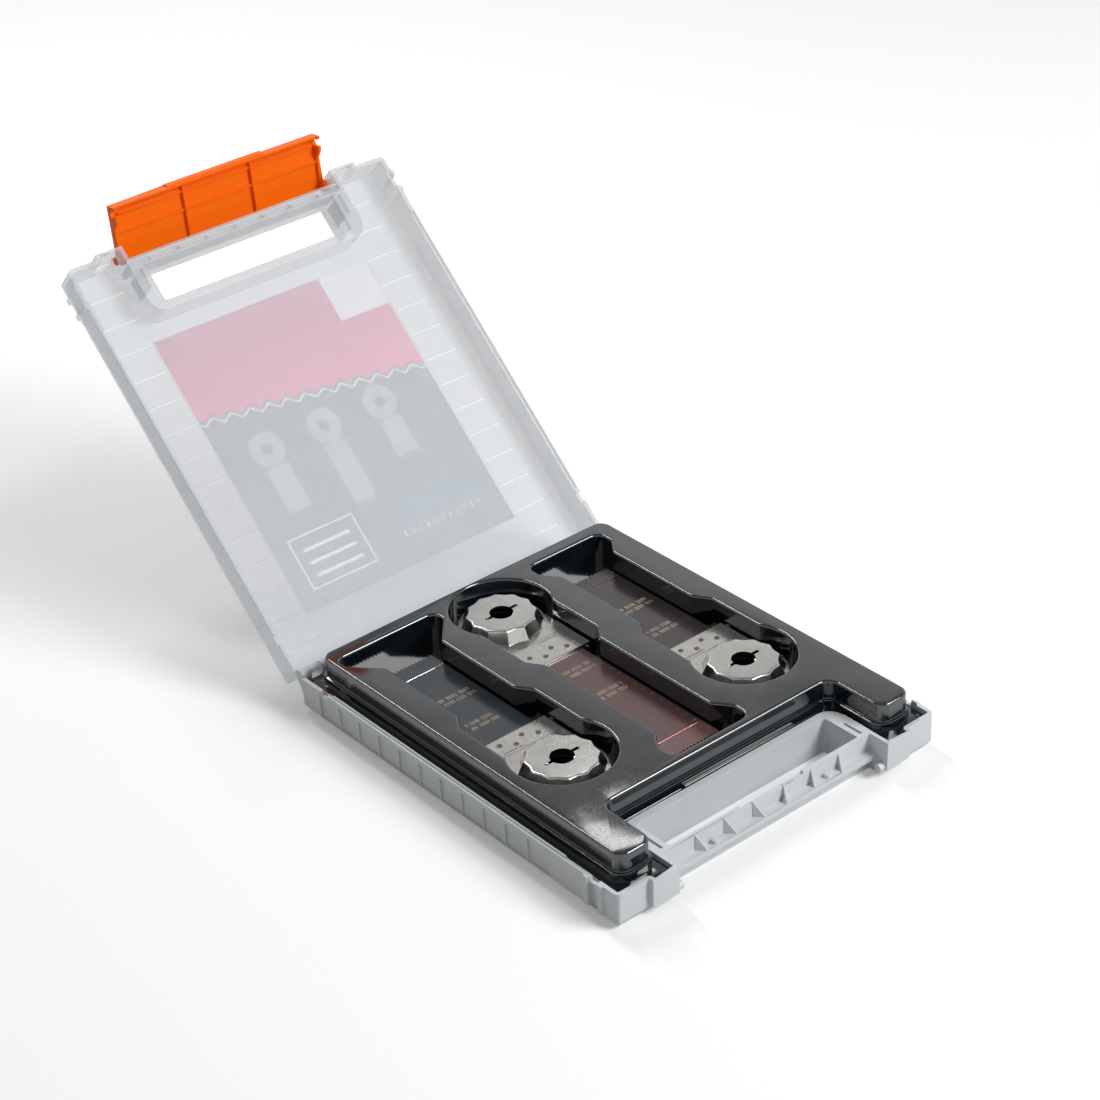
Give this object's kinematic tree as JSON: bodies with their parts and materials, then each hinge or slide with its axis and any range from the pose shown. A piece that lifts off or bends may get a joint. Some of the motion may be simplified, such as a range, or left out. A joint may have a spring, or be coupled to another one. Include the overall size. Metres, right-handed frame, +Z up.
{
  "type": "saw blade storage case",
  "caption": "Flat hinged plastic case with a translucent lid, a bar latch, a carrying grip and a formed insert that holds oscillating-tool saw blades in stacked pockets.",
  "frame": {"origin": "middle of the base's flat underside", "axes": "+Z up, +Y towards the hinge, +X to the right seen from the grip"},
  "size_m": [0.1668, 0.3526, 0.1679],
  "materials": {
    "base_grey": "fine moulded satin, light grey",
    "lid_milky": "milky translucent polypropylene, satin",
    "label_print": "printed film, satin",
    "latch_orange": "moulded orange, semi-gloss",
    "insert_black": "deep gloss formed sheet",
    "pin_steel": "drawn wire",
    "mount_steel": "pressed and tumbled bright steel",
    "blade_slate": "blue-grey baked coat",
    "blade_umber": "red-brown baked coat",
    "blade_plum": "dark plum baked coat",
    "tooth_steel": "coated tooth strip"
  },
  "bodies": {
    "base": {"base_shell": "base_grey", "hinge_pin_left": "pin_steel", "hinge_pin_right": "pin_steel"},
    "lid": {"lid_shell": "lid_milky", "lid_label": "label_print"},
    "latch": {"latch": "latch_orange"},
    "tray": {"insert_tray": "insert_black"},
    "left_lower_blade": {"mount_left_lower": "mount_steel", "blade_left_lower": "blade_slate", "teeth_left_lower": "tooth_steel"},
    "left_upper_blade": {"mount_left_upper": "mount_steel", "blade_left_upper": "blade_slate", "teeth_left_upper": "tooth_steel"},
    "centre_lower_blade": {"mount_centre_lower": "mount_steel", "blade_centre_lower": "blade_umber", "teeth_centre_lower": "tooth_steel"},
    "centre_upper_blade": {"mount_centre_upper": "mount_steel", "blade_centre_upper": "blade_umber", "teeth_centre_upper": "tooth_steel"},
    "right_lower_blade": {"mount_right_lower": "mount_steel", "blade_right_lower": "blade_plum", "teeth_right_lower": "tooth_steel"},
    "right_upper_blade": {"mount_right_upper": "mount_steel", "blade_right_upper": "blade_plum", "teeth_right_upper": "tooth_steel"}
  },
  "joints": [
    {"name": "lid_hinge", "type": "hinge", "parent": "base", "child": "lid", "pos_m": [0, 0.0985, 0.0158], "axis": [-1, 0, 0], "range_deg": [-136.5, 0]},
    {"name": "latch_pivot", "type": "hinge", "parent": "lid", "child": "latch", "pos_m": [0, 0.247, 0.14376], "axis": [-1, 0, 0], "range_deg": [-48, 0]},
    {"name": "tray_lift", "type": "slide", "parent": "base", "child": "tray", "axis": [0, 0, 1], "range_m": [0, 0.04]},
    {"name": "left_lower_lift", "type": "slide", "parent": "tray", "child": "left_lower_blade", "axis": [0, 0, 1], "range_m": [0, 0.04]},
    {"name": "left_upper_lift", "type": "slide", "parent": "left_lower_blade", "child": "left_upper_blade", "axis": [0, 0, 1], "range_m": [0, 0.04]},
    {"name": "centre_lower_lift", "type": "slide", "parent": "tray", "child": "centre_lower_blade", "axis": [0, 0, 1], "range_m": [0, 0.04]},
    {"name": "centre_upper_lift", "type": "slide", "parent": "centre_lower_blade", "child": "centre_upper_blade", "axis": [0, 0, 1], "range_m": [0, 0.04]},
    {"name": "right_lower_lift", "type": "slide", "parent": "tray", "child": "right_lower_blade", "axis": [0, 0, 1], "range_m": [0, 0.04]},
    {"name": "right_upper_lift", "type": "slide", "parent": "right_lower_blade", "child": "right_upper_blade", "axis": [0, 0, 1], "range_m": [0, 0.04]}
  ]
}
